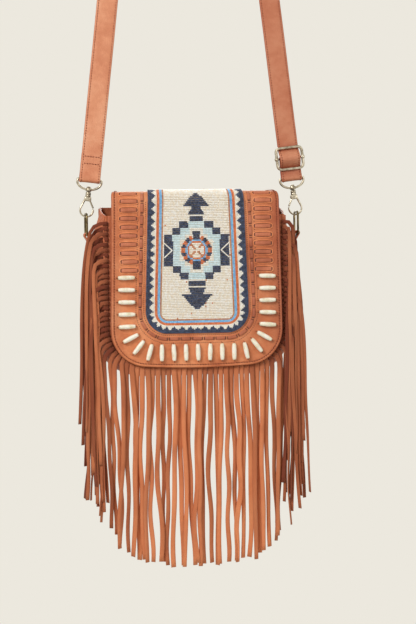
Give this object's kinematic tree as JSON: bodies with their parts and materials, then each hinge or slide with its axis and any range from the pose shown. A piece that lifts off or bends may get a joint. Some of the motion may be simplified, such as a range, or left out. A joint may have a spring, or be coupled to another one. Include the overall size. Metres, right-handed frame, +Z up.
{
  "type": "fringed shoulder bag",
  "caption": "Tan leather shoulder bag with a bead-panelled flap, bone beads round its edge, long cut fringe, and a clip-on adjustable strap.",
  "frame": {"origin": "underside of the strap at the top of its arch, where the bag is hung", "axes": "+Z up along the hanging bag, +X across it to its right seen from the front, -Y out of the front of the flap"},
  "size_m": [0.2882, 0.0668, 1.0189],
  "materials": {
    "flap_leather": "smooth matte tan leather",
    "body_leather": "smooth matte tan leather",
    "strap_leather": "smooth matte tan leather, paler",
    "lace_leather": "dark reddish brown lace",
    "fringe_suede": "napped tan suede",
    "lining_cloth": "plain woven lining",
    "seed_beads": "rows of small glass beads",
    "bone": "polished cream bone",
    "nickel": "antique nickel",
    "antique_brass": "dark antique brass",
    "snap_metal": "plated magnetic snap"
  },
  "bodies": {
    "bag": {"front_panel": "body_leather", "back_panel": "body_leather", "gusset": "body_leather", "lining": "lining_cloth", "fringe": "fringe_suede", "ring_tab_left": "body_leather", "ring_tab_right": "body_leather", "snap_female": "snap_metal", "strap": "strap_leather", "slider_frame": "nickel", "slider_bar": "nickel"},
    "flap": {"flap": "flap_leather", "flap_lining": "lining_cloth", "bead_panel": "seed_beads", "lace_left": "lace_leather", "lace_right": "lace_leather", "running_lace": "lace_leather", "snap_male": "snap_metal", "bone_bead_01": "bone", "bone_bead_02": "bone", "bone_bead_03": "bone", "bone_bead_04": "bone", "bone_bead_05": "bone", "bone_bead_06": "bone", "bone_bead_07": "bone", "bone_bead_08": "bone", "bone_bead_09": "bone", "bone_bead_10": "bone", "bone_bead_11": "bone", "bone_bead_12": "bone", "bone_bead_13": "bone", "bone_bead_14": "bone", "bone_bead_15": "bone", "bone_bead_16": "bone", "bone_bead_17": "bone", "bone_bead_18": "bone", "bone_bead_19": "bone", "bone_bead_20": "bone", "bone_bead_21": "bone", "bone_bead_22": "bone", "bone_bead_23": "bone"},
    "loop_left": {"hook_loop_left": "nickel"},
    "hook_left": {"hook_left": "nickel", "gate_pin_left": "nickel"},
    "gate_left": {"gate_left": "nickel"},
    "ring_left": {"d_ring_left": "antique_brass"},
    "loop_right": {"hook_loop_right": "nickel"},
    "hook_right": {"hook_right": "nickel", "gate_pin_right": "nickel"},
    "gate_right": {"gate_right": "nickel"},
    "ring_right": {"d_ring_right": "antique_brass"}
  },
  "joints": [
    {"name": "flap_hinge", "type": "hinge", "parent": "bag", "child": "flap", "pos_m": [0, 0.026, -0.5735], "axis": [-1, 0, 0], "range_deg": [0, 115]},
    {"name": "loop_swing_left", "type": "hinge", "parent": "bag", "child": "loop_left", "pos_m": [-0.12192, 0, -0.54079], "axis": [0.9935, 0, -0.1141], "range_deg": [-3, 3]},
    {"name": "hook_swivel_left", "type": "hinge", "parent": "loop_left", "child": "hook_left", "pos_m": [-0.127, 0, -0.585], "axis": [0.1141, 0, 0.9935], "range_deg": [-40, 40]},
    {"name": "gate_spring_left", "type": "hinge", "parent": "hook_left", "child": "gate_left", "pos_m": [-0.1223, 0, -0.5642], "axis": [0, 1, 0], "range_deg": [0, 18], "stiffness_Nm_per_rad": 0.002, "springref_deg": -11.46},
    {"name": "ring_swing_left", "type": "hinge", "parent": "bag", "child": "ring_left", "pos_m": [-0.127, 0, -0.607], "axis": [0, 1, 0], "range_deg": [-3, 3]},
    {"name": "loop_swing_right", "type": "hinge", "parent": "bag", "child": "loop_right", "pos_m": [0.12192, 0, -0.54079], "axis": [0.9935, 0, 0.1141], "range_deg": [-3, 3]},
    {"name": "hook_swivel_right", "type": "hinge", "parent": "loop_right", "child": "hook_right", "pos_m": [0.127, 0, -0.585], "axis": [-0.1141, 0, 0.9935], "range_deg": [-40, 40]},
    {"name": "gate_spring_right", "type": "hinge", "parent": "hook_right", "child": "gate_right", "pos_m": [0.1223, 0, -0.5642], "axis": [0, -1, 0], "range_deg": [0, 18], "stiffness_Nm_per_rad": 0.002, "springref_deg": -11.46},
    {"name": "ring_swing_right", "type": "hinge", "parent": "bag", "child": "ring_right", "pos_m": [0.127, 0, -0.607], "axis": [0, 1, 0], "range_deg": [-3, 3]}
  ]
}
